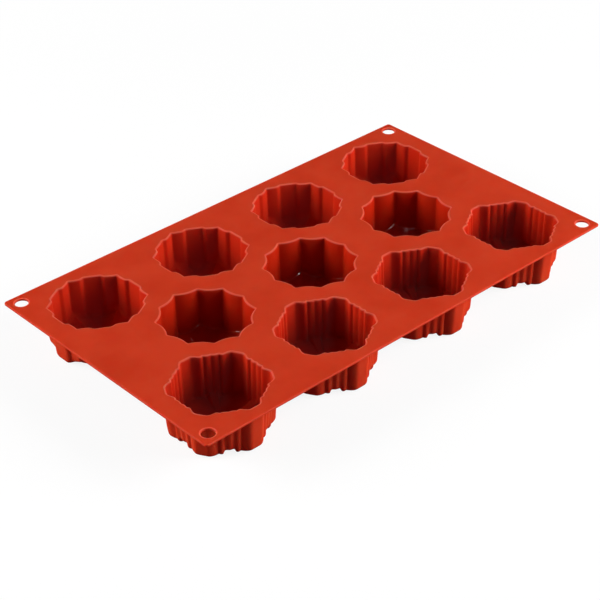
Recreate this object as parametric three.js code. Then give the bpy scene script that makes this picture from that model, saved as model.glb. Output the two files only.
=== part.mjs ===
// Silicone mousse mould: one flat sheet with eleven hanging cups in three fluted shapes.
// Millimetres, +Z up, X along the long side, origin on the floor under the middle of the sheet.
import * as THREE from 'three';

// Sheet
const SHEET_LENGTH = 300;
const SHEET_THICKNESS = 1.6;
const SHEET_CORNER = 2;
const HANG_HOLE_DIAMETER = 7.6;
const HANG_HOLE_INSET = 7.3;

// Rows of cups; margins run from the outermost cups' axes to the sheet's edges
const OUTER_ROW_CUPS = 4;
const OUTER_END_MARGIN = 38.25;
const MIDDLE_ROW_CUPS = 3;
const MIDDLE_END_MARGIN = 72.6;
const ROW_OFFSET = 52.1;
const SIDE_MARGIN = 35.4;

// What all cups share
const CAVITY_DEPTH = 26;
const WALL = 1.5;
const FLOOR_THICKNESS = 1.6;
const FLOOR_TAPER = 0.942;
const FLOOR_FILLET = 1.6;
const BASE_CHAMFER = 1.8;
const CREASE_END_RADIUS = 10;
const SIDES = 6;

// Faceted cup: flat facets step down to a dip, then flanks rise to a pointed rib
const FACET_APOTHEM = 26.6;
const FACET_HALF_WIDTH = 5.2;
const DIP_APOTHEM = 24.9;
const DIP_HALF_WIDTH = 6.9;
const POINTED_RIB_RADIUS = 28.5;
const FLANK_SAG = 0.3;
const FACETED_CREASE_HEIGHT = 4.5;
const FACETED_CREASE_DEGREES = 22;

// Fluted cup: hollow flutes meet in minor and major ribs by turns
const MINOR_RIB_RADIUS = 27.7;
const MAJOR_RIB_RADIUS = 28.5;
const FLUTE_SAG = 1.65;
const FLUTED_CREASE_HEIGHT = 3.2;
const FLUTED_CREASE_DEGREES = 20;

// Hexagon cup: flat-topped lobes, four shallow flutes on each side between, a steep notch under each side
const SIDE_APOTHEM = 26;
const SIDE_RIB_SPACING = 4.6;
const SIDE_FLUTE_SAG = 0.65;
const LOBE_RADIUS = 28.45;
const LOBE_HALF_WIDTH = 3.3;
const LOBE_FOOT_RADIUS = 26.2;
const LOBE_FOOT_DEGREES = 14;
const NOTCH_HEIGHT = 2.3;
const NOTCH_DEGREES = 8;
const NOTCH_FLANK_DEGREES = 3;

// Silicone's colour
const SILICONE_RED = 0xc43c22;

// How finely curves are drawn
const FILLET_STEPS = 2;
const FLUTE_STEPS = 4;
const ARC_DIVISIONS = 7;
const OFFSET_STEPS = 12;

const HALF_SECTOR = Math.PI / SIDES;
const SHEET_UNDERSIDE = FLOOR_THICKNESS + CAVITY_DEPTH - SHEET_THICKNESS;
const SHEET_WIDTH = 2 * (ROW_OFFSET + SIDE_MARGIN);
const pitch = (cups, endMargin) => (SHEET_LENGTH - 2 * endMargin) / (cups - 1);

// Half sectors run from the middle of a side to the rib or lobe beside it: x across the side, y outwards.
const polar = (radius, angle) => new THREE.Vector2(radius * Math.sin(angle), radius * Math.cos(angle));

// Curve between two corners, bowed towards the cup's axis by the sag, without its last point.
function bowed(from, to, sag, steps) {
  const inward = new THREE.Vector2(to.y - from.y, from.x - to.x).normalize();
  const control = from.clone().lerp(to, 0.5).addScaledVector(inward, 2 * sag);
  return new THREE.QuadraticBezierCurve(from, control, to).getPoints(steps).slice(0, -1);
}

function facetedHalf() {
  const middle = new THREE.Vector2(0, FACET_APOTHEM);
  const edge = new THREE.Vector2(FACET_HALF_WIDTH, FACET_APOTHEM);
  const dip = new THREE.Vector2(DIP_HALF_WIDTH, DIP_APOTHEM);
  const rib = polar(POINTED_RIB_RADIUS, HALF_SECTOR);
  return [middle, edge, ...bowed(dip, rib, FLANK_SAG, 2), rib];
}

function flutedHalf() {
  const minorRib = new THREE.Vector2(0, MINOR_RIB_RADIUS);
  const majorRib = polar(MAJOR_RIB_RADIUS, HALF_SECTOR);
  return [...bowed(minorRib, majorRib, FLUTE_SAG, FLUTE_STEPS), majorRib];
}

function hexagonHalf() {
  const middleRib = new THREE.Vector2(0, SIDE_APOTHEM);
  const sideRib = new THREE.Vector2(SIDE_RIB_SPACING, SIDE_APOTHEM);
  const foot = polar(LOBE_FOOT_RADIUS, HALF_SECTOR - THREE.MathUtils.degToRad(LOBE_FOOT_DEGREES));
  const lobe = polar(LOBE_RADIUS, HALF_SECTOR);
  const alongLobe = new THREE.Vector2(-Math.cos(HALF_SECTOR), Math.sin(HALF_SECTOR));
  const shoulder = lobe.clone().addScaledVector(alongLobe, LOBE_HALF_WIDTH);
  return [
    ...bowed(middleRib, sideRib, SIDE_FLUTE_SAG, 2),
    ...bowed(sideRib, foot, SIDE_FLUTE_SAG, 2),
    foot,
    shoulder,
    lobe,
  ];
}

// Whole mouth outline, counter-clockwise: each half sector, mirrored and turned to its side.
function wholeOutline(half) {
  const mirrored = half.slice(1, -1).reverse().map((p) => new THREE.Vector2(-p.x, p.y));
  const outline = [];
  for (let side = 0; side < SIDES; side += 1) {
    const turn = 2 * HALF_SECTOR * side;
    for (const p of [...mirrored, ...half]) {
      const angle = turn + Math.atan2(p.x, p.y);
      outline.push(new THREE.Vector2(Math.cos(angle), Math.sin(angle)).multiplyScalar(p.length()));
    }
  }
  return outline;
}

const scaled = (outline, factor) => outline.map((p) => p.clone().multiplyScalar(factor));

// Outline pulled in towards the axis by a distance.
const inset = (outline, distance) => outline.map((p) => p.clone().setLength(p.length() - distance));

// Outline grown by the wall: on each point's ray, the farthest point within a wall's thickness of it.
function grown(outline, distance) {
  const samples = outline.flatMap((p, i) => {
    const next = outline[(i + 1) % outline.length];
    return Array.from({ length: OFFSET_STEPS }, (_, step) => p.clone().lerp(next, step / OFFSET_STEPS));
  });
  return outline.map((p) => {
    const ray = p.clone().normalize();
    const reaches = samples
      .filter((q) => q.dot(ray) > 0 && Math.abs(ray.cross(q)) < distance)
      .map((q) => q.dot(ray) + Math.sqrt(distance ** 2 - ray.cross(q) ** 2));
    return ray.multiplyScalar(Math.max(...reaches));
  });
}

// One ring of points at a height, raised where a crease crosses it.
function ring(outline, height, rise) {
  return outline.map((p, i) => new THREE.Vector3(p.x, p.y, height + rise[i]));
}

// Closed body through rings of equal count, from a point on the cavity's floor to a point under the base.
function bodyThrough(floorCentre, rings, baseCentre) {
  const count = rings[0].length;
  const points = [floorCentre, ...rings.flat(), baseCentre];
  const at = (level, i) => 1 + level * count + (i % count);
  const last = rings.length - 1;
  const index = [];
  for (let i = 0; i < count; i += 1) {
    index.push(0, at(0, i), at(0, i + 1));
    for (let level = 0; level < last; level += 1) {
      index.push(at(level, i), at(level + 1, i), at(level + 1, i + 1));
      index.push(at(level, i), at(level + 1, i + 1), at(level, i + 1));
    }
    index.push(at(last, i), points.length - 1, at(last, i + 1));
  }
  const geometry = new THREE.BufferGeometry().setFromPoints(points);
  geometry.setIndex(index);
  geometry.computeVertexNormals();
  return geometry;
}

// Cup hanging from the sheet's underside. Six creases divide its floor and base into petals: each crease is
// highest at the wall, keeps its height up to the flank's start and falls over the flank on either side.
function cupGeometry(mouth, crease) {
  const level = mouth.map(() => 0);
  const rise = mouth.map((p) => {
    const turn = (p.angle() - crease.turn) / (2 * HALF_SECTOR);
    const off = THREE.MathUtils.radToDeg(Math.abs(turn - Math.round(turn)) * 2 * HALF_SECTOR);
    return crease.height * THREE.MathUtils.clamp((crease.degrees - off) / crease.flank, 0, 1);
  });
  const wallAt = (height) => {
    const depth = (SHEET_UNDERSIDE - height) / (SHEET_UNDERSIDE - FLOOR_THICKNESS);
    return scaled(mouth, 1 - depth * (1 - FLOOR_TAPER));
  };
  const hub = mouth.map((p) => p.clone().setLength(CREASE_END_RADIUS));
  const rings = [ring(hub, FLOOR_THICKNESS, level)];
  const innerFoot = wallAt(FLOOR_THICKNESS + FLOOR_FILLET);
  for (let step = 0; step <= FILLET_STEPS; step += 1) {
    const angle = (Math.PI / 2) * (step / FILLET_STEPS);
    const filletInset = inset(innerFoot, FLOOR_FILLET * (1 - Math.sin(angle)));
    rings.push(ring(filletInset, FLOOR_THICKNESS + FLOOR_FILLET * (1 - Math.cos(angle)), rise));
  }
  rings.push(ring(mouth, SHEET_UNDERSIDE, level));
  rings.push(ring(grown(mouth, WALL), SHEET_UNDERSIDE, level));
  const outerFoot = grown(wallAt(BASE_CHAMFER), WALL);
  rings.push(ring(outerFoot, BASE_CHAMFER, rise));
  rings.push(ring(inset(outerFoot, BASE_CHAMFER), 0, rise));
  rings.push(ring(hub, 0, level));
  return bodyThrough(new THREE.Vector3(0, 0, FLOOR_THICKNESS), rings, new THREE.Vector3());
}

function sheetShape(places) {
  const x = SHEET_LENGTH / 2 - SHEET_CORNER;
  const y = SHEET_WIDTH / 2 - SHEET_CORNER;
  const shape = new THREE.Shape();
  [[x, y], [-x, y], [-x, -y], [x, -y]].forEach(([cx, cy], quarter) => {
    const start = (quarter * Math.PI) / 2;
    shape.absarc(cx, cy, SHEET_CORNER, start, start + Math.PI / 2, false);
  });
  shape.closePath();
  for (const { mouth, at } of places) {
    shape.holes.push(new THREE.Path(mouth.map((p) => p.clone().add(at))));
  }
  const holeX = SHEET_LENGTH / 2 - HANG_HOLE_INSET;
  const holeY = SHEET_WIDTH / 2 - HANG_HOLE_INSET;
  for (const [sx, sy] of [[1, 1], [-1, 1], [-1, -1], [1, -1]]) {
    const hole = new THREE.Path();
    hole.absarc(sx * holeX, sy * holeY, HANG_HOLE_DIAMETER / 2, 0, 2 * Math.PI, true);
    shape.holes.push(hole);
  }
  return shape;
}

const ribCrease = {
  turn: HALF_SECTOR,
  height: FACETED_CREASE_HEIGHT,
  degrees: FACETED_CREASE_DEGREES,
  flank: FACETED_CREASE_DEGREES,
};
const fluteCrease = {
  turn: 0,
  height: FLUTED_CREASE_HEIGHT,
  degrees: FLUTED_CREASE_DEGREES,
  flank: FLUTED_CREASE_DEGREES,
};
const notch = { turn: 0, height: NOTCH_HEIGHT, degrees: NOTCH_DEGREES, flank: NOTCH_FLANK_DEGREES };
const outerRow = { count: OUTER_ROW_CUPS, pitch: pitch(OUTER_ROW_CUPS, OUTER_END_MARGIN) };
const middleRow = { count: MIDDLE_ROW_CUPS, pitch: pitch(MIDDLE_ROW_CUPS, MIDDLE_END_MARGIN) };
const rows = [
  { name: 'faceted_cup', half: facetedHalf(), ...outerRow, y: ROW_OFFSET, crease: ribCrease },
  { name: 'fluted_cup', half: flutedHalf(), ...middleRow, y: 0, crease: fluteCrease },
  { name: 'hexagon_cup', half: hexagonHalf(), ...outerRow, y: -ROW_OFFSET, crease: notch },
];

const mould = new THREE.Group();
mould.name = 'mousse_mould';

function addPiece(name, geometry, x, y, z) {
  const silicone = new THREE.MeshStandardMaterial({ color: SILICONE_RED, roughness: 0.5, metalness: 0 });
  const piece = new THREE.Mesh(geometry, silicone);
  piece.name = name;
  piece.position.set(x, y, z);
  mould.add(piece);
}

const places = [];
for (const row of rows) {
  const mouth = wholeOutline(row.half);
  const cup = cupGeometry(mouth, row.crease);
  for (let i = 0; i < row.count; i += 1) {
    const at = new THREE.Vector2((i - (row.count - 1) / 2) * row.pitch, row.y);
    places.push({ mouth, at });
    addPiece(`${row.name}_${i + 1}`, cup, at.x, at.y, 0);
  }
}

const sheet = new THREE.ExtrudeGeometry(sheetShape(places), {
  depth: SHEET_THICKNESS,
  bevelEnabled: false,
  curveSegments: ARC_DIVISIONS,
});
addPiece('sheet', sheet, 0, 0, SHEET_UNDERSIDE);

export default mould;
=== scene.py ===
"""Silicone mousse mould: a flat red sheet with eleven hanging cups in three fluted shapes."""
import math

import bmesh
import bpy
import numpy as np
from bpy.props import FloatProperty, FloatVectorProperty, IntProperty, PointerProperty
from mathutils import Matrix, Vector


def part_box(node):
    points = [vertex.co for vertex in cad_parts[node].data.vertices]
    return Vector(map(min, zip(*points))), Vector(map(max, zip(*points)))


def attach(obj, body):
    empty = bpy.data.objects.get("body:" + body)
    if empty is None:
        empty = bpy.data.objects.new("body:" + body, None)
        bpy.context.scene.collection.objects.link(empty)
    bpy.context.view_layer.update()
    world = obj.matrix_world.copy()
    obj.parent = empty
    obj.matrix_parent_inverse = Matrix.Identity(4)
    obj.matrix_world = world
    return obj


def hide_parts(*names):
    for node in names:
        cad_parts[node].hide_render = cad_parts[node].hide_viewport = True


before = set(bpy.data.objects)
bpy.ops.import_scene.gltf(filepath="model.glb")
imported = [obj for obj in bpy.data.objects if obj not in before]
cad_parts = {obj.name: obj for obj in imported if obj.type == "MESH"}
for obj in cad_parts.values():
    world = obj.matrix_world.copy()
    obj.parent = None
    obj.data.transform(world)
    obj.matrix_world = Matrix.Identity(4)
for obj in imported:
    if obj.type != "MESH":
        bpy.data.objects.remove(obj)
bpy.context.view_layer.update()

bl_info = {
    "name": "Mousse mould",
    "version": (1, 0, 0),
    "blender": (4, 5, 0),
    "location": "3D View > Sidebar > Mould",
    "description": "Silicone sheet with fluted cups, its finish and its studio",
    "category": "Add Mesh",
}

MM = 0.001
UP = (0.0, 0.0, 1.0)
DOWN = (0.0, 0.0, -1.0)
WHITE = (1.0, 1.0, 1.0, 1.0)
BLACK = (0.0, 0.0, 0.0, 1.0)
QUARTERS = ((1, 1), (-1, 1), (-1, -1), (1, -1))  # signs of x and y at four corners
SIDES = 6                                        # sides of every mouth
HALF_SECTOR = math.pi / SIDES
SHEET_LOW, SHEET_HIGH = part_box("sheet")
FACETED_CUPS = [f"faceted_cup_{i}" for i in range(1, 5)]
FLUTED_CUPS = [f"fluted_cup_{i}" for i in range(1, 4)]
HEXAGON_CUPS = [f"hexagon_cup_{i}" for i in range(1, 5)]

# Fineness of the meshes
BOW_STEPS = 24                       # points along one run of a mouth, before they are spaced evenly
ROW_SPACING = 3.0 * MM               # between rows along the straights of a cup's section
FILLET_ROWS = 7                      # rows over a rounding of that section
MARCH_STEPS = 30                     # rounds in which a cup's outer outline settles
MARCH_START = 3.0                    # walls beyond the mouth where that march starts
MERGE_DISTANCE = 0.002 * MM
SHARP_ANGLE = math.radians(50.0)
EDGE_STEPS = 6                       # rows over a rounding of the sheet's rim
CORNER_STEPS = 12                    # points around a corner of the sheet
HOLE_POINTS = 48                     # points around a hang hole

CREASE_FADE = (3.2 * MM, 14.0 * MM)  # heights between which the creases fade out
# Painted highlight on the upper rounding of the sheet's rim, as a share of that on the lips.
RIM_HIGHLIGHT = 0.35                  # paleness of the sheet's rim against that of the lips

# Silicone. The scales of its textures are counts in a metre.
CLOUD_SCALE, CLOUD_DETAIL, CLOUD_ROUGHNESS = 38.0, 3.0, 0.55
CLOUD_SPAN = (0.35, 0.68)
SMEAR_SCALE, SMEAR_DETAIL = 120.0, 4.0
SMEAR_SPAN = (0.3, 0.7)
SMEAR_BLUR = 0.05
GRAIN_SCALE, GRAIN_DETAIL = 2600.0, 2.0
GRAIN_STRENGTH, GRAIN_DEPTH = 0.06, 0.2 * MM
LEAST_TONE = 0.01                    # a tone above this marks the inside of a cavity
SILICONE_IOR = 1.42
SCATTER_BY_CHANNEL = (1.0, 0.1, 0.04)

# Stage, in metres
FLOOR_HALF = 4.0
FLOOR_BOUNCE = (0.32, 0.12, 0.09)    # colour of the light that the floor throws back on the cups
FLOOR_SHADE = 0.12                   # depth of the mould's shadow
SHADE_SPAN = (0.2, 0.6)              # distances from the middle between which that shadow runs out
SKY_LIGHT, SKY_SHEEN = 0.04, 0.05    # the sky's strength on the silicone and in its reflections
LAMP_DISTANCE = 1.3
SOFTBOX_SIZE = (0.78, 0.78)
STRIP_SIZE = (0.12, 0.04)
# Lamps: name, bearing from +X and elevation in degrees, power in watts
SOFTBOXES = (("softbox_left", 140.0, 24.0, 21.2), ("softbox_right", 316.0, 24.0, 25.3))
STRIPS = (("strip_left", 149.0, 32.0, 3.4), ("strip_right", 280.0, 42.0, 6.8))

# Camera, fitted to the photograph: turns in degrees, focal length and sensor in millimetres
CAMERA_AZIMUTH, CAMERA_ELEVATION, CAMERA_ROLL = -41.74, 33.74, -1.27
CAMERA_LENS, CAMERA_SENSOR = 102.62, 36.0
CAMERA_CLIP = (0.01, 20.0)
CAMERA_RIGHT, CAMERA_UP, CAMERA_DISTANCE = 5.82 * MM, 21.66 * MM, 972.4 * MM


def angle(name, description, default_degrees):
    return FloatProperty(name=name, description=description, default=math.radians(default_degrees),
                         subtype="ANGLE", unit="ROTATION")


def length(name, description, default_mm):
    """A size in metres, written in millimetres."""
    return FloatProperty(name=name, description=description, default=default_mm * MM,
                         subtype="DISTANCE", unit="LENGTH", precision=5)


def fillet(default_mm):
    return length("Floor fillet", "Rounding between wall and floor inside", default_mm)


def share(name, description, default):
    return FloatProperty(name=name, description=description, default=default,
                         min=0.0, max=1.0, subtype="FACTOR")


def blur(name, default):
    return share(name, "How much the skin blurs what it reflects", default)


# Painted shade: the share of a cavity's colour left at its floor, so the colour darkens from mouth to
# floor.
def painted_floor_shade(default):
    return share("Painted floor shade", "Brightness of a cavity's floor against its mouth", default)


def softness(default):
    return IntProperty(name="Softness", description="Rounds of smoothing on the ribs", default=default,
                       min=0)


def colour(name, description, default):
    return FloatVectorProperty(name=name, description=description, default=default,
                               subtype="COLOR", size=3, min=0.0, max=1.0)


class SheetSizes(bpy.types.PropertyGroup):
    corner: length("Corner", "Radius of the sheet's corners", 2.0)
    edge: length("Edge rounding", "Rounding along the sheet's rim and its hang holes", 0.6)
    hole: length("Hang hole", "Diameter of the corner hang holes", 7.6)
    inset: length("Hole inset", "From a hang hole's middle to the sheet's edges", 7.3)
    # The collar is the band over which the painted highlight fades out around mouths and hang holes.
    collar: length("Collar", "Width of the paler band around mouths and hang holes", 0.4)


class CupSizes(bpy.types.PropertyGroup):
    floor: length("Floor", "Thickness of a cup's floor", 1.6)
    wall: length("Wall", "Thickness of a cup's wall", 1.5)
    lip: length("Lip", "Rounding where a cavity opens in the sheet", 0.9)
    base_fillet: length("Base fillet", "Rounding under the cup", 2.9)
    crease_end: length("Crease end", "Radius where the creases of the floor run out", 10.0)
    taper: share("Taper", "Size of the floor against the mouth", 0.942)
    points: IntProperty(name="Points", description="Points around a mouth", default=432, min=48)


class FacetedSizes(bpy.types.PropertyGroup):
    apothem: length("Facet distance", "From the axis to a facet", 26.6)
    half_width: length("Facet half width", "Half a facet's width", 5.2)
    dip: length("Dip distance", "From the axis to the dip beside a facet", 24.9)
    dip_half_width: length("Dip half width", "From a facet's middle to its dips", 6.9)
    rib: length("Rib radius", "From the axis to a pointed rib", 28.5)
    sag: length("Flank sag", "Hollow of the flanks", 0.3)
    crease: length("Crease", "Height of the floor's creases at the pointed ribs", 4.5)
    crease_angle: angle("Crease angle", "Half the spread of a crease", 22.0)
    floor_fillet: fillet(3.0)
    blur: blur("Cavity blur", 1.0)
    painted_floor_shade: painted_floor_shade(1.0)
    softness: softness(3)


class FlutedSizes(bpy.types.PropertyGroup):
    minor: length("Minor rib radius", "From the axis to the lower ribs", 27.7)
    major: length("Major rib radius", "From the axis to the higher ribs", 28.5)
    sag: length("Flute sag", "Hollow of the flutes", 1.65)
    crease: length("Crease", "Height of the floor's creases at the lower ribs", 3.2)
    crease_angle: angle("Crease angle", "Half the spread of a crease", 20.0)
    floor_fillet: fillet(1.6)
    blur: blur("Cavity blur", 0.14)
    painted_floor_shade: painted_floor_shade(0.8)
    softness: softness(7)


class HexagonSizes(bpy.types.PropertyGroup):
    side: length("Side distance", "From the axis to the ribs of a side", 26.0)
    spacing: length("Rib spacing", "Between the ribs of a side", 4.6)
    sag: length("Flute sag", "Hollow of the flutes on a side", 0.7)
    lobe: length("Lobe radius", "From the axis to the flat of a lobe", 28.45)
    lobe_half_width: length("Lobe half width", "Half the flat of a lobe", 3.3)
    foot: length("Lobe foot radius", "From the axis to the foot of a lobe", 26.2)
    foot_angle: angle("Lobe foot angle", "From a lobe's middle to its foot", 14.0)
    swell: length("Lobe swell", "Outward bow of a lobe's flanks", 0.3)
    notch: length("Notch", "Height of the notches under the sides", 2.3)
    notch_angle: angle("Notch angle", "Half the spread of a notch", 8.5)
    notch_flank: angle("Notch flank", "Spread of a notch's steep flank", 3.0)
    floor_fillet: fillet(1.6)
    blur: blur("Cavity blur", 0.95)
    painted_floor_shade: painted_floor_shade(0.8)
    softness: softness(2)


class SiliconeFinish(bpy.types.PropertyGroup):
    red: colour("Silicone", "Colour of the silicone", (0.560, 0.042, 0.0135))
    clouds: colour("Clouds", "Colour of the darker clouds in the silicone", (0.515, 0.033, 0.0095))
    # Painted shade: the cavities get a deeper, darker red than the rest of the silicone.
    cavity: colour("Cavity", "Colour inside the cavities, near their mouths", (0.47, 0.0165, 0.0039))
    # Painted highlight: the lips get a paler colour, as if light shone through them.
    edge: colour("Thin edge", "Colour of the thin lips, where light shines through", (0.74, 0.105, 0.065))
    shine: share("Shine", "How strongly the skin reflects", 0.25)
    sheet_blur: blur("Sheet blur", 0.45)
    cup_blur: blur("Outer blur of cups", 0.75)
    edge_blur: blur("Thin edge blur", 0.6)
    scatter: share("Scatter", "Share of the light that travels inside the silicone", 0.45)
    scatter_depth: length("Scatter depth", "How far red light travels inside the silicone", 4.0)


class MouldSettings(bpy.types.PropertyGroup):
    sheet: PointerProperty(type=SheetSizes)
    cup: PointerProperty(type=CupSizes)
    faceted: PointerProperty(type=FacetedSizes)
    fluted: PointerProperty(type=FlutedSizes)
    hexagon: PointerProperty(type=HexagonSizes)
    finish: PointerProperty(type=SiliconeFinish)


def settings():
    return bpy.context.scene.mousse_mould


# Mouth outlines. A half sector runs from the middle of a side to the rib or lobe beside it:
# x across the side, y outwards.

def polar(radius, turn):
    """The point at this distance from the axis, turned away from the middle of the side."""
    return np.array((radius * math.sin(turn), radius * math.cos(turn)))


def bowed(start, end, sag):
    """Points from one corner towards the next, on a parabola that bows inwards by the sag."""
    along = np.asarray(end, float) - np.asarray(start, float)
    inward = np.array((along[1], -along[0])) / np.hypot(*along)
    t = np.linspace(0.0, 1.0, BOW_STEPS, endpoint=False)[:, None]
    return np.asarray(start) + along * t + inward * (4.0 * sag * t * (1.0 - t))


def faceted_mouth(s):
    edge = (s.half_width, s.apothem)
    dip = (s.dip_half_width, s.dip)
    rib = polar(s.rib, HALF_SECTOR)
    return mouth_outline((bowed((0.0, s.apothem), edge, 0.0), bowed(edge, dip, 0.0),
                          bowed(dip, rib, s.sag), rib), s.softness)


def fluted_mouth(s):
    rib = polar(s.major, HALF_SECTOR)
    return mouth_outline((bowed((0.0, s.minor), rib, s.sag), rib), s.softness)


def hexagon_mouth(s):
    rib = (s.spacing, s.side)
    foot = polar(s.foot, HALF_SECTOR - s.foot_angle)
    lobe = polar(s.lobe, HALF_SECTOR)
    shoulder = lobe + s.lobe_half_width * np.array((-math.cos(HALF_SECTOR), math.sin(HALF_SECTOR)))
    return mouth_outline((bowed((0.0, s.side), rib, s.sag), bowed(rib, foot, s.sag),
                          bowed(foot, shoulder, -s.swell), bowed(shoulder, lobe, 0.0), lobe), s.softness)


def mouth_outline(runs, rounds):
    """The whole mouth, counter-clockwise, evenly spaced and with its sharp ribs softened."""
    half = np.vstack(runs)
    sector = np.vstack((half[-2:0:-1] * (-1.0, 1.0), half))
    angles = np.arctan2(sector[:, 0], sector[:, 1])
    radii = np.hypot(sector[:, 0], sector[:, 1])
    turns = 2.0 * HALF_SECTOR * np.arange(SIDES)[:, None]
    theta = (turns + angles[None, :]).ravel()
    reach = np.tile(radii, SIDES)
    loop = np.column_stack((reach * np.cos(theta), reach * np.sin(theta)))
    loop = np.vstack((loop, loop[:1]))
    run = np.concatenate(((0.0,), np.cumsum(np.hypot(*np.diff(loop, axis=0).T))))
    at = np.linspace(0.0, run[-1], settings().cup.points, endpoint=False)
    points = np.column_stack([np.interp(at, run, loop[:, k]) for k in range(2)])
    for _ in range(rounds):
        points = 0.5 * points + 0.25 * (np.roll(points, 1, 0) + np.roll(points, -1, 0))
    return points


def place_of(node):
    """A cup's axis, at the height of its base, from the box of its CAD node."""
    low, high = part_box(node)
    return Vector(((low[0] + high[0]) / 2, (low[1] + high[1]) / 2, 0.0))


# Node trees

class Tree:
    """Short calls for building one node tree."""

    def __init__(self, tree):
        self.tree = tree

    def node(self, kind, inputs=None, **values):
        made = self.tree.nodes.new(kind)
        for name, value in values.items():
            setattr(made, name, value)
        for name, value in (inputs or {}).items():
            self.put(made.inputs[name], value)
        return made

    def put(self, socket, value):
        if isinstance(value, bpy.types.NodeSocket):
            self.tree.links.new(value, socket)
        else:
            socket.default_value = value

    def math(self, operation, *values):
        made = self.node("ShaderNodeMath", dict(enumerate(values)), operation=operation)
        return made.outputs[0]

    def vector(self, operation, *values):
        made = self.node("ShaderNodeVectorMath", dict(enumerate(values)), operation=operation)
        return made.outputs["Value" if operation in {"LENGTH", "DISTANCE"} else "Vector"]

    def scaled(self, vector, factor):
        made = self.node("ShaderNodeVectorMath", {0: vector, "Scale": factor}, operation="SCALE")
        return made.outputs["Vector"]

    def xyz(self, x, y, z):
        return self.node("ShaderNodeCombineXYZ", {"X": x, "Y": y, "Z": z}).outputs[0]

    def parts(self, vector):
        return self.node("ShaderNodeSeparateXYZ", {0: vector}).outputs

    def blend(self, factor, first, second):
        """A colour between two others."""
        made = self.node("ShaderNodeMix", data_type="RGBA")
        self.put(made.inputs["Factor"], factor)
        self.put(made.inputs["A"], first)
        self.put(made.inputs["B"], second)
        return made.outputs["Result"]

    def ramp(self, value, low, high, start, end, smooth=False):
        kind = "SMOOTHSTEP" if smooth else "LINEAR"
        made = self.node("ShaderNodeMapRange", {0: value, 1: low, 2: high, 3: start, 4: end},
                         interpolation_type=kind)
        return made.outputs[0]


def corner_profile(t, corners, roundings):
    """A cup's section through the given corners, rounded, with rows along its straights."""
    line = t.node("GeometryNodeMeshLine", {"Count": len(corners)}).outputs[0]
    index = t.node("GeometryNodeInputIndex").outputs[0]
    place = t.node("GeometryNodeIndexSwitch", data_type="VECTOR")
    reach = t.node("GeometryNodeIndexSwitch", data_type="FLOAT")
    for switch, values in ((place, corners), (reach, roundings)):
        while len(switch.index_switch_items) < len(values):
            switch.index_switch_items.new()
        t.put(switch.inputs["Index"], index)
        for i, value in enumerate(values):
            t.put(switch.inputs[i + 1], value)
    line = t.node("GeometryNodeSetPosition", {"Geometry": line, "Position": place.outputs[0]})
    curve = t.node("GeometryNodeMeshToCurve", {0: line.outputs[0]}).outputs[0]
    curve = t.node("GeometryNodeFilletCurve", {"Curve": curve, "Radius": reach.outputs[0],
                   "Count": FILLET_ROWS}, mode="POLY").outputs[0]
    here = t.node("GeometryNodeInputPosition").outputs[0]
    following = t.node("GeometryNodeFieldAtIndex", {"Index": t.math("ADD", index, 1.0), "Value": here},
                       data_type="FLOAT_VECTOR", domain="POINT").outputs[0]
    cuts = t.math("FLOOR", t.math("DIVIDE", t.vector("DISTANCE", here, following), ROW_SPACING))
    return t.node("GeometryNodeSubdivideCurve", {"Curve": curve, "Cuts": cuts}).outputs[0]


def grown_mouth(t, mouth, wall, reach):
    """The mouth's outline grown by the wall: points march in from outside until one wall away."""
    here = t.node("GeometryNodeInputPosition").outputs[0]
    outwards = t.vector("NORMALIZE", here)
    outside = t.scaled(outwards, t.math("ADD", reach, t.math("MULTIPLY", wall, MARCH_START)))
    start = t.node("GeometryNodeSetPosition", {"Geometry": mouth, "Position": outside}).outputs[0]
    first = t.node("GeometryNodeRepeatInput")
    last = t.node("GeometryNodeRepeatOutput")
    first.pair_with_output(last)
    t.put(first.inputs["Iterations"], MARCH_STEPS)
    t.put(first.inputs["Geometry"], start)
    near = t.node("GeometryNodeProximity", {0: mouth}, target_element="EDGES")
    left = t.math("SUBTRACT", near.outputs["Distance"], wall)
    step = t.scaled(outwards, t.math("MULTIPLY", left, -1.0))
    moved = t.node("GeometryNodeSetPosition", {"Geometry": first.outputs["Geometry"], "Offset": step})
    t.put(last.inputs["Geometry"], moved.outputs[0])
    return last.outputs["Geometry"]


def farthest(t, geometry):
    """The greatest distance of a point from the axis."""
    here = t.node("GeometryNodeInputPosition").outputs[0]
    made = t.node("GeometryNodeAttributeStatistic", {"Geometry": geometry,
                  "Attribute": t.vector("LENGTH", here)}, data_type="FLOAT", domain="POINT")
    return made.outputs["Max"]


def sampled(t, geometry, index):
    """The place of the point with this index."""
    here = t.node("GeometryNodeInputPosition").outputs[0]
    made = t.node("GeometryNodeSampleIndex", {"Geometry": geometry, "Value": here, "Index": index},
                  data_type="FLOAT_VECTOR", domain="POINT")
    return made.outputs[0]


def point_count(t, geometry, component):
    return t.node("GeometryNodeAttributeDomainSize", {0: geometry}, component=component).outputs[0]


CUP_TREE = "Cup below its mouth"
CUP_INPUTS = ("Top", "Sheet", "Floor", "Wall", "Lip", "Floor fillet", "Base fillet", "Taper",
              "Crease", "Crease turn", "Crease angle", "Crease flank", "Crease softness", "Crease end",
              "Blur", "Outer blur", "Painted floor shade")


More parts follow.
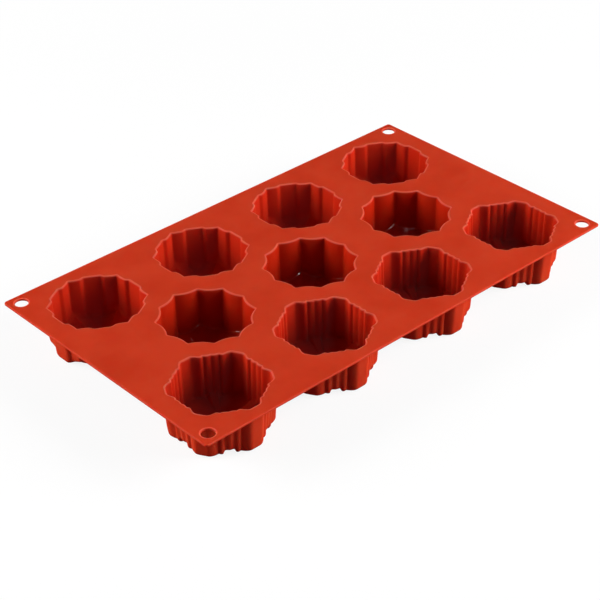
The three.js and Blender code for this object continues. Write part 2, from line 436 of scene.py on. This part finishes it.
def cup_tree():
    """Geometry Nodes tree that hangs a whole cup from the outline of its mouth."""
    tree = bpy.data.node_groups.new(CUP_TREE, "GeometryNodeTree")
    face = tree.interface
    face.new_socket("Mouth", in_out="INPUT", socket_type="NodeSocketGeometry")
    for name in CUP_INPUTS:
        face.new_socket(name, in_out="INPUT", socket_type="NodeSocketFloat")
    face.new_socket("Place", in_out="INPUT", socket_type="NodeSocketVector")
    face.new_socket("Silicone", in_out="INPUT", socket_type="NodeSocketMaterial")
    face.new_socket("Cup", in_out="OUTPUT", socket_type="NodeSocketGeometry")
    t = Tree(tree)
    given = t.node("NodeGroupInput").outputs
    mouth = given["Mouth"]
    reach = farthest(t, mouth)
    grown = grown_mouth(t, mouth, given["Wall"], reach)
    outer_reach = farthest(t, grown)
    underside = t.math("SUBTRACT", given["Top"], given["Sheet"])

    foot = t.math("MULTIPLY", reach, given["Taper"])
    inside = corner_profile(t, [
        t.xyz(0.0, 0.0, given["Floor"]),
        t.xyz(foot, 0.0, given["Floor"]),
        t.xyz(t.math("SUBTRACT", reach, given["Lip"]), 0.0, given["Top"]),
        t.xyz(reach, 0.0, given["Top"]),
        t.xyz(reach, 0.0, underside),
    ], [0.0, given["Floor fillet"], given["Lip"], 0.0, 0.0])
    outer_foot = t.math("MULTIPLY", outer_reach, given["Taper"])
    outside = corner_profile(t, [
        t.xyz(outer_reach, 0.0, underside),
        t.xyz(outer_foot, 0.0, 0.0),
        t.xyz(0.0, 0.0, 0.0),
    ], [0.0, given["Base fillet"], 0.0])

    inside_rows = point_count(t, inside, "CURVE")
    rows = t.math("ADD", inside_rows, point_count(t, outside, "CURVE"))
    around = point_count(t, mouth, "MESH")
    columns = t.math("ADD", around, 1.0)
    grid = t.node("GeometryNodeMeshGrid", {"Vertices X": rows, "Vertices Y": columns}).outputs["Mesh"]
    index = t.node("GeometryNodeInputIndex").outputs[0]
    # The halves added here keep whole numbers clear of rounding.
    row = t.math("FLOOR", t.math("DIVIDE", t.math("ADD", index, 0.5), columns))
    column = t.math("SUBTRACT", index, t.math("MULTIPLY", row, columns))
    column = t.math("MODULO", column, around)

    def loft(profile, outline, outline_reach, profile_row):
        section = t.parts(sampled(t, profile, profile_row))
        spread = t.math("DIVIDE", section["X"], outline_reach)
        flat = t.scaled(sampled(t, outline, column), spread)
        return t.vector("ADD", flat, t.xyz(0.0, 0.0, section["Z"]))

    inner = loft(inside, mouth, reach, row)
    outer = loft(outside, grown, outer_reach, t.math("SUBTRACT", row, inside_rows))
    is_outer = t.math("GREATER_THAN", t.math("ADD", row, 0.5), inside_rows)
    whole = t.node("GeometryNodeSwitch", {"Switch": is_outer, "False": inner, "True": outer},
                   input_type="VECTOR").outputs[0]
    cup = t.node("GeometryNodeSetPosition", {"Geometry": grid, "Position": whole}).outputs[0]

    xyz = t.parts(t.node("GeometryNodeInputPosition").outputs[0])
    bearing = t.math("SUBTRACT", t.math("ARCTAN2", xyz["Y"], xyz["X"]), given["Crease turn"])
    turn = t.math("DIVIDE", bearing, 2.0 * HALF_SECTOR)
    off = t.math("ABSOLUTE", t.math("SUBTRACT", turn, t.math("ROUND", turn)))
    off = t.math("MULTIPLY", off, 2.0 * HALF_SECTOR)
    crest = t.math("SUBTRACT", given["Crease angle"], given["Crease flank"])
    straight = t.ramp(off, crest, given["Crease angle"], 1.0, 0.0)
    rounded = t.ramp(off, crest, given["Crease angle"], 1.0, 0.0, smooth=True)
    across = t.ramp(given["Crease softness"], 0.0, 1.0, straight, rounded)
    flat_reach = t.vector("LENGTH", t.xyz(xyz["X"], xyz["Y"], 0.0))
    along = t.ramp(flat_reach, given["Crease end"], foot, 0.0, 1.0)
    upwards = t.ramp(xyz["Z"], *CREASE_FADE, 1.0, 0.0)
    rise = t.math("MULTIPLY", t.math("MULTIPLY", across, along),
                  t.math("MULTIPLY", upwards, given["Crease"]))
    moved = t.vector("ADD", t.xyz(0.0, 0.0, rise), given["Place"])
    # What the silicone reads from "skin": painted lip highlight, painted cavity shade, blur
    # Painted highlight over the lip's rounding, from none below it to full at the top.
    highlight_brink = t.ramp(xyz["Z"], t.math("SUBTRACT", given["Top"], given["Lip"]), given["Top"], 0.0, 1.0)
    # Painted shade: the cavity's colour darkens from the mouth down to the floor.
    tone = t.ramp(xyz["Z"], given["Floor"], given["Top"], given["Painted floor shade"], 1.0)
    cavity = t.math("MULTIPLY", t.math("SUBTRACT", 1.0, is_outer), tone)
    skin = t.xyz(highlight_brink, cavity, t.ramp(is_outer, 0.0, 1.0, given["Blur"], given["Outer blur"]))
    cup = t.node("GeometryNodeStoreNamedAttribute", {"Geometry": cup, "Name": "skin", "Value": skin},
                 data_type="FLOAT_VECTOR", domain="POINT").outputs[0]
    cup = t.node("GeometryNodeSetPosition", {"Geometry": cup, "Offset": moved}).outputs[0]
    cup = t.node("GeometryNodeMergeByDistance", {"Geometry": cup, "Distance": MERGE_DISTANCE}).outputs[0]
    cup = t.node("GeometryNodeSetShadeSmooth", {"Geometry": cup}).outputs[0]
    cup = t.node("GeometryNodeRealizeInstances", {"Geometry": cup}).outputs[0]
    cup = t.node("GeometryNodeSetMaterial", {"Geometry": cup, "Material": given["Silicone"]}).outputs[0]
    t.put(t.node("NodeGroupOutput").inputs[0], cup)
    return tree


def finish_piece(piece, *nodes):
    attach(piece, "root")
    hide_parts(*nodes)


def make_cups(nodes, outline, shape, creases):
    """One cup for each node, all from the same mouth outline, with six creases in floor and base."""
    cup = settings().cup
    top = SHEET_HIGH[2]
    values = {"Top": top, "Sheet": top - SHEET_LOW[2], "Floor": cup.floor, "Wall": cup.wall,
              "Lip": cup.lip, "Base fillet": cup.base_fillet, "Taper": cup.taper,
              "Crease end": cup.crease_end, "Floor fillet": shape.floor_fillet, "Blur": shape.blur,
              "Outer blur": settings().finish.cup_blur, "Painted floor shade": shape.painted_floor_shade, **creases}
    tree = bpy.data.node_groups.get(CUP_TREE) or cup_tree()
    sockets = {item.name: item.identifier for item in tree.interface.items_tree if item.in_out == "INPUT"}
    count = len(outline)
    for node in nodes:
        mesh = bpy.data.meshes.new(node + "_mouth")
        mesh.from_pydata([(x, y, 0.0) for x, y in outline],
                         [(i, (i + 1) % count) for i in range(count)], [])
        piece = bpy.data.objects.new(node + "_skin", mesh)
        bpy.context.collection.objects.link(piece)
        modifier = piece.modifiers.new("Cup", "NODES")
        modifier.node_group = tree
        for name, value in values.items():
            modifier[sockets[name]] = float(value)
        modifier[sockets["Place"]] = tuple(place_of(node))
        modifier[sockets["Silicone"]] = silicone()
        depsgraph = bpy.context.evaluated_depsgraph_get()
        solid = bpy.data.meshes.new_from_object(piece.evaluated_get(depsgraph),
                                                preserve_all_data_layers=True, depsgraph=depsgraph)
        if len(solid.polygons) == 0:
            raise RuntimeError(f"{node}: the cup came out empty")
        piece.modifiers.clear()
        piece.data = solid
        bpy.data.meshes.remove(mesh)
        solid.set_sharp_from_angle(angle=SHARP_ANGLE)
        finish_piece(piece, node)


# Sheet

def corner_directions():
    """Outward directions around the corners of the sheet, counter-clockwise."""
    turns = [(quarter + k / CORNER_STEPS) * math.pi / 2 for quarter in range(4)
             for k in range(CORNER_STEPS + 1)]
    return [(math.cos(turn), math.sin(turn)) for turn in turns]


def corner_loop(half_x, half_y, radius):
    """A rectangle with rounded corners, counter-clockwise."""
    signs = [pair for pair in QUARTERS for _ in range(CORNER_STEPS + 1)]
    return [(sx * (half_x - radius) + radius * ux, sy * (half_y - radius) + radius * uy)
            for (sx, sy), (ux, uy) in zip(signs, corner_directions())]


def rounded_edge(low, high, rounding):
    """Rows of (inset, height, outward share, upward share) over an edge from top to bottom."""
    rows = []
    for top in (True, False):
        for k in range(EDGE_STEPS + 1):
            turn = k / EDGE_STEPS * math.pi / 2 if top else (1 - k / EDGE_STEPS) * math.pi / 2
            up = math.cos(turn)
            inset = rounding * (1 - math.sin(turn))
            height = high - rounding * (1 - up) if top else low + rounding * (1 - up)
            rows.append((inset, height, math.sin(turn), up if top else -up))
    return rows


def make_sheet_mesh(outlines):
    """The sheet with its rim, hang holes and cavity mouths, from (axis, outline) of each mouth."""
    s = settings().sheet
    low, high = SHEET_LOW[2], SHEET_HIGH[2]
    bm = bmesh.new()
    skin_layer = bm.verts.layers.float_vector.new("skin")
    sheet_blur = settings().finish.sheet_blur
    normals = []

    def ring(points, height, facing, highlight_brink):
        made = []
        for (x, y), n in zip(points, facing):
            vert = bm.verts.new((x, y, height))
            vert[skin_layer] = (highlight_brink, 0.0, sheet_blur)
            made.append(vert)
            normals.append(n)
        return made

    def skin(a, b, outwards):
        for i in range(len(a)):
            j = (i + 1) % len(a)
            face = (a[i], b[i], b[j], a[j]) if outwards else (a[i], a[j], b[j], b[i])
            bm.faces.new(face).smooth = True

    def edge_rows(loop_at, directions, outwards, highlight_at):
        rows = []
        for inset, height, out, up in rounded_edge(low, high, s.edge):
            points = loop_at(inset)
            facing = [(out * dx, out * dy, up) for dx, dy in directions]
            rows.append(ring(points, height, facing, highlight_at(out, up)))
        for upper, lower in zip(rows, rows[1:]):
            skin(upper, lower, outwards)
        return rows[0], rows[-1]

    caps = ([], [])
    half_x = (SHEET_HIGH[0] - SHEET_LOW[0]) / 2
    half_y = (SHEET_HIGH[1] - SHEET_LOW[1]) / 2
    # Painted highlight on the upper rounding of the sheet's rim.
    ends = edge_rows(lambda inset: corner_loop(half_x - inset, half_y - inset, s.corner - inset),
                     corner_directions(), True, lambda out, up: RIM_HIGHLIGHT * out if up > 0.0 else 0.0)
    for cap, end in zip(caps, ends):
        cap.append(end)

    around = [(math.cos(a), math.sin(a)) for a in np.linspace(0, 2 * math.pi, HOLE_POINTS, endpoint=False)]
    for sx, sy in QUARTERS:
        cx, cy = sx * (half_x - s.inset), sy * (half_y - s.inset)
        # Painted highlight on the upper rounding of each hang hole.
        ends = edge_rows(lambda inset: [(cx + (s.hole / 2 + inset) * ux, cy + (s.hole / 2 + inset) * uy)
                                        for ux, uy in around],
                         [(-ux, -uy) for ux, uy in around], False, lambda out, up: max(up, 0.0))
        reach = s.hole / 2 + s.edge + s.collar
        wider = [(cx + reach * ux, cy + reach * uy) for ux, uy in around]
        collar = ring(wider, high, [UP] * len(around), 0.0)
        skin(collar, ends[0], False)
        caps[0].append(collar)
        caps[1].append(ends[1])

    for centre, outline in outlines:
        points = [(centre.x + x, centre.y + y) for x, y in outline]
        stretch = 1.0 + s.collar / np.hypot(*outline.T)
        wider = [(centre.x + x * k, centre.y + y * k) for (x, y), k in zip(outline, stretch)]
        # Painted highlight at each mouth: none at the collar, full at the mouth's edge.
        collar = ring(wider, high, [UP] * len(points), 0.0)
        highlight_brink = ring(points, high, [UP] * len(points), 1.0)
        lower = ring(points, low, [DOWN] * len(points), 0.0)
        skin(collar, highlight_brink, False)
        skin(highlight_brink, lower, False)
        caps[0].append(collar)
        caps[1].append(lower)

    for cap, up in zip(caps, (1.0, -1.0)):
        edges = []
        for loop in cap:
            for i, vert in enumerate(loop):
                edges.append(bm.edges.get((vert, loop[(i + 1) % len(loop)])))
        made = bmesh.ops.triangle_fill(bm, edges=edges, use_beauty=True, normal=(0.0, 0.0, up))
        for face in made["geom"]:
            if isinstance(face, bmesh.types.BMFace):
                face.smooth = True
                face.normal_update()
                if face.normal.z * up < 0.0:
                    face.normal_flip()
    mesh = bpy.data.meshes.new("sheet_skin")
    bm.to_mesh(mesh)
    bm.free()
    mesh.normals_split_custom_set_from_vertices(normals)
    return mesh


# Finish

def silicone():
    """Satin moulded silicone: faint clouds, a fine grain, a painted highlight on the lips and painted
    shade in the cavities.
    """
    made = bpy.data.materials.get("silicone_red")
    if made:
        return made
    finish = settings().finish
    made = bpy.data.materials.new("silicone_red")
    made.use_nodes = True
    t = Tree(made.node_tree)
    shader = made.node_tree.nodes["Principled BSDF"]
    here = t.node("ShaderNodeTexCoord").outputs["Object"]
    clouds = t.node("ShaderNodeTexNoise", {"Vector": here, "Scale": CLOUD_SCALE, "Detail": CLOUD_DETAIL,
                                           "Roughness": CLOUD_ROUGHNESS}).outputs[0]
    skin = t.parts(t.node("ShaderNodeAttribute", attribute_name="skin").outputs["Vector"])
    highlight_brink, cavity, skin_blur = skin["X"], skin["Y"], skin["Z"]
    tint = t.blend(t.ramp(clouds, *CLOUD_SPAN, 0.0, 1.0, smooth=True), (*finish.red, 1.0),
                   (*finish.clouds, 1.0))
    # Painted shade inside the cavities: a deeper red that darkens towards their floors.
    inside = t.blend(cavity, BLACK, (*finish.cavity, 1.0))
    tint = t.blend(t.math("GREATER_THAN", cavity, LEAST_TONE), tint, inside)
    # Painted highlight on the lips, and on the upper roundings of the sheet's rim and hang holes.
    t.put(shader.inputs["Base Color"], t.blend(highlight_brink, tint, (*finish.edge, 1.0)))
    smear = t.node("ShaderNodeTexNoise", {"Vector": here, "Scale": SMEAR_SCALE,
                                          "Detail": SMEAR_DETAIL}).outputs[0]
    rough = t.math("ADD", skin_blur, t.ramp(smear, *SMEAR_SPAN, -SMEAR_BLUR, SMEAR_BLUR))
    t.put(shader.inputs["Roughness"], t.ramp(highlight_brink, 0.0, 1.0, rough, finish.edge_blur))
    grain = t.node("ShaderNodeTexNoise", {"Vector": here, "Scale": GRAIN_SCALE,
                                          "Detail": GRAIN_DETAIL}).outputs[0]
    bump = t.node("ShaderNodeBump", {"Strength": GRAIN_STRENGTH, "Distance": GRAIN_DEPTH, "Height": grain})
    t.put(shader.inputs["Normal"], bump.outputs[0])
    shader.inputs["Specular IOR Level"].default_value = finish.shine
    shader.inputs["IOR"].default_value = SILICONE_IOR
    shader.inputs["Subsurface Weight"].default_value = finish.scatter
    shader.inputs["Subsurface Scale"].default_value = finish.scatter_depth
    shader.inputs["Subsurface Radius"].default_value = SCATTER_BY_CHANNEL
    return made


# Operators

class MOULD_OT_faceted_cups(bpy.types.Operator):
    """Make the back row's cups with flat facets and pointed ribs"""
    bl_idname = "mould.faceted_cups"
    bl_label = "Faceted Cups"

    def execute(self, context):
        s = settings().faceted
        make_cups(FACETED_CUPS, faceted_mouth(s), s,
                  {"Crease": s.crease, "Crease turn": HALF_SECTOR, "Crease angle": s.crease_angle,
                   "Crease flank": s.crease_angle, "Crease softness": 0.0})
        return {"FINISHED"}


class MOULD_OT_fluted_cups(bpy.types.Operator):
    """Make the middle row's cups with hollow flutes"""
    bl_idname = "mould.fluted_cups"
    bl_label = "Fluted Cups"

    def execute(self, context):
        s = settings().fluted
        make_cups(FLUTED_CUPS, fluted_mouth(s), s,
                  {"Crease": s.crease, "Crease turn": 0.0, "Crease angle": s.crease_angle,
                   "Crease flank": s.crease_angle, "Crease softness": 0.0})
        return {"FINISHED"}


class MOULD_OT_hexagon_cups(bpy.types.Operator):
    """Make the front row's cups with six lobes and finely fluted sides"""
    bl_idname = "mould.hexagon_cups"
    bl_label = "Hexagon Cups"

    def execute(self, context):
        s = settings().hexagon
        make_cups(HEXAGON_CUPS, hexagon_mouth(s), s,
                  {"Crease": s.notch, "Crease turn": 0.0, "Crease angle": s.notch_angle,
                   "Crease flank": s.notch_flank, "Crease softness": 1.0})
        return {"FINISHED"}


class MOULD_OT_sheet(bpy.types.Operator):
    """Make the flat sheet with its cavity mouths and hang holes"""
    bl_idname = "mould.sheet"
    bl_label = "Sheet"

    def execute(self, context):
        s = settings()
        outlines = []
        for nodes, outline in ((FACETED_CUPS, faceted_mouth(s.faceted)),
                               (FLUTED_CUPS, fluted_mouth(s.fluted)),
                               (HEXAGON_CUPS, hexagon_mouth(s.hexagon))):
            outlines += [(place_of(node), outline) for node in nodes]
        mesh = make_sheet_mesh(outlines)
        mesh.materials.append(silicone())
        piece = bpy.data.objects.new("sheet_skin", mesh)
        context.collection.objects.link(piece)
        finish_piece(piece, "sheet")
        return {"FINISHED"}


# Stage

def white_where_seen(material):
    """A floor that shows white to the camera, with a faint shadow, and bounces warm light up."""
    material.use_nodes = True
    tree = material.node_tree
    tree.nodes.clear()
    t = Tree(tree)
    seen = t.node("ShaderNodeLightPath").outputs["Is Camera Ray"]
    away = t.vector("LENGTH", t.node("ShaderNodeTexCoord").outputs["Object"])
    glow_share = t.math("MULTIPLY", seen, t.ramp(away, *SHADE_SPAN, 1.0 - FLOOR_SHADE, 1.0, smooth=True))
    tint = t.blend(seen, (*FLOOR_BOUNCE, 1.0), WHITE)
    matt = t.node("ShaderNodeBsdfDiffuse", {"Color": tint}).outputs[0]
    glow = t.node("ShaderNodeEmission", {"Color": WHITE, "Strength": 1.0}).outputs[0]
    mixed = t.node("ShaderNodeMixShader", {0: glow_share, 1: matt, 2: glow}).outputs[0]
    t.put(t.node("ShaderNodeOutputMaterial").inputs["Surface"], mixed)


def make_floor(context):
    mesh = bpy.data.meshes.new("floor")
    mesh.from_pydata([(sx * FLOOR_HALF, sy * FLOOR_HALF, 0.0) for sx, sy in QUARTERS], [], [(0, 1, 2, 3)])
    floor = bpy.data.objects.new("floor", mesh)
    material = bpy.data.materials.new("studio_white")
    white_where_seen(material)
    mesh.materials.append(material)
    context.collection.objects.link(floor)
    floor.visible_glossy = False


def make_sky(scene):
    """A faint sky that shows white to the camera."""
    world = bpy.data.worlds.new("studio")
    scene.world = world
    world.use_nodes = True
    t = Tree(world.node_tree)
    world.node_tree.nodes.clear()
    path = t.node("ShaderNodeLightPath").outputs
    strength = t.ramp(path["Is Glossy Ray"], 0.0, 1.0, SKY_LIGHT, SKY_SHEEN)
    soft = t.node("ShaderNodeBackground", {"Color": WHITE, "Strength": strength})
    white = t.node("ShaderNodeBackground", {"Color": WHITE, "Strength": 1.0})
    mixed = t.node("ShaderNodeMixShader", {0: path["Is Camera Ray"], 1: soft.outputs[0],
                                           2: white.outputs[0]})
    t.put(t.node("ShaderNodeOutputWorld").inputs["Surface"], mixed.outputs[0])


def add_lamp(name, bearing, elevation, power, size):
    """A rectangular lamp that faces the mould from a bearing (degrees from +X) and elevation."""
    lamp = bpy.data.lights.new(name, "AREA")
    lamp.shape = "RECTANGLE"
    lamp.size, lamp.size_y = size
    lamp.energy = power
    made = bpy.data.objects.new(name, lamp)
    turn, rise = math.radians(bearing), math.radians(elevation)
    towards = Vector((math.cos(turn) * math.cos(rise), math.sin(turn) * math.cos(rise), math.sin(rise)))
    made.location = towards * LAMP_DISTANCE
    made.rotation_mode = "QUATERNION"
    made.rotation_quaternion = towards.to_track_quat("Z", "Y")
    bpy.context.collection.objects.link(made)
    return made


def make_lamps():
    """Soft lamps that light the silicone, and small ones that show only as glints on it."""
    for lamp in SOFTBOXES:
        add_lamp(*lamp, SOFTBOX_SIZE).visible_glossy = False
    for lamp in STRIPS:
        add_lamp(*lamp, STRIP_SIZE).visible_diffuse = False


def make_camera(context):
    camera = bpy.data.cameras.new("camera")
    camera.sensor_width = CAMERA_SENSOR
    camera.lens = CAMERA_LENS
    camera.clip_start, camera.clip_end = CAMERA_CLIP
    seat = bpy.data.objects.new("camera", camera)
    azimuth, elevation, roll = (math.radians(a) for a in (CAMERA_AZIMUTH, CAMERA_ELEVATION, CAMERA_ROLL))
    back = Vector((math.sin(azimuth) * math.cos(elevation), -math.cos(azimuth) * math.cos(elevation),
                   math.sin(elevation)))
    level = Vector((math.cos(azimuth), math.sin(azimuth), 0.0))
    upright = back.cross(level)
    right = level * math.cos(roll) + upright * math.sin(roll)
    up = upright * math.cos(roll) - level * math.sin(roll)
    place = back * CAMERA_DISTANCE - right * CAMERA_RIGHT - up * CAMERA_UP
    place.z += SHEET_HIGH[2]
    seat.matrix_world = Matrix((right, up, back)).transposed().to_4x4()
    seat.location = place
    context.collection.objects.link(seat)
    context.scene.camera = seat


class MOULD_OT_stage(bpy.types.Operator):
    """Make the floor, the soft studio light and the camera"""
    bl_idname = "mould.stage"
    bl_label = "Stage"

    def execute(self, context):
        make_floor(context)
        make_sky(context.scene)
        make_lamps()
        make_camera(context)
        context.scene.view_settings.view_transform = "Standard"
        return {"FINISHED"}


# Panel and registration

class MOULD_PT_panel(bpy.types.Panel):
    bl_label = "Mousse Mould"
    bl_idname = "MOULD_PT_panel"
    bl_space_type = "VIEW_3D"
    bl_region_type = "UI"
    bl_category = "Mould"

    def draw(self, context):
        for operator in OPERATORS:
            self.layout.operator(operator.bl_idname)
        for group in ("sheet", "cup", "faceted", "fluted", "hexagon", "finish"):
            sizes = getattr(settings(), group)
            box = self.layout.box()
            for name in sizes.bl_rna.properties.keys():
                if name not in {"rna_type", "name"}:
                    box.prop(sizes, name)


OPERATORS = (MOULD_OT_faceted_cups, MOULD_OT_fluted_cups, MOULD_OT_hexagon_cups, MOULD_OT_sheet,
             MOULD_OT_stage)
CLASSES = (SheetSizes, CupSizes, FacetedSizes, FlutedSizes, HexagonSizes, SiliconeFinish, MouldSettings,
           *OPERATORS, MOULD_PT_panel)


def register():
    for cls in CLASSES:
        bpy.utils.register_class(cls)
    bpy.types.Scene.mousse_mould = PointerProperty(type=MouldSettings)


def unregister():
    del bpy.types.Scene.mousse_mould
    for cls in reversed(CLASSES):
        bpy.utils.unregister_class(cls)


def main():
    register()
    bpy.ops.mould.faceted_cups()
    bpy.ops.mould.fluted_cups()
    bpy.ops.mould.hexagon_cups()
    bpy.ops.mould.sheet()
    bpy.ops.mould.stage()


if __name__ == "__main__":
    main()
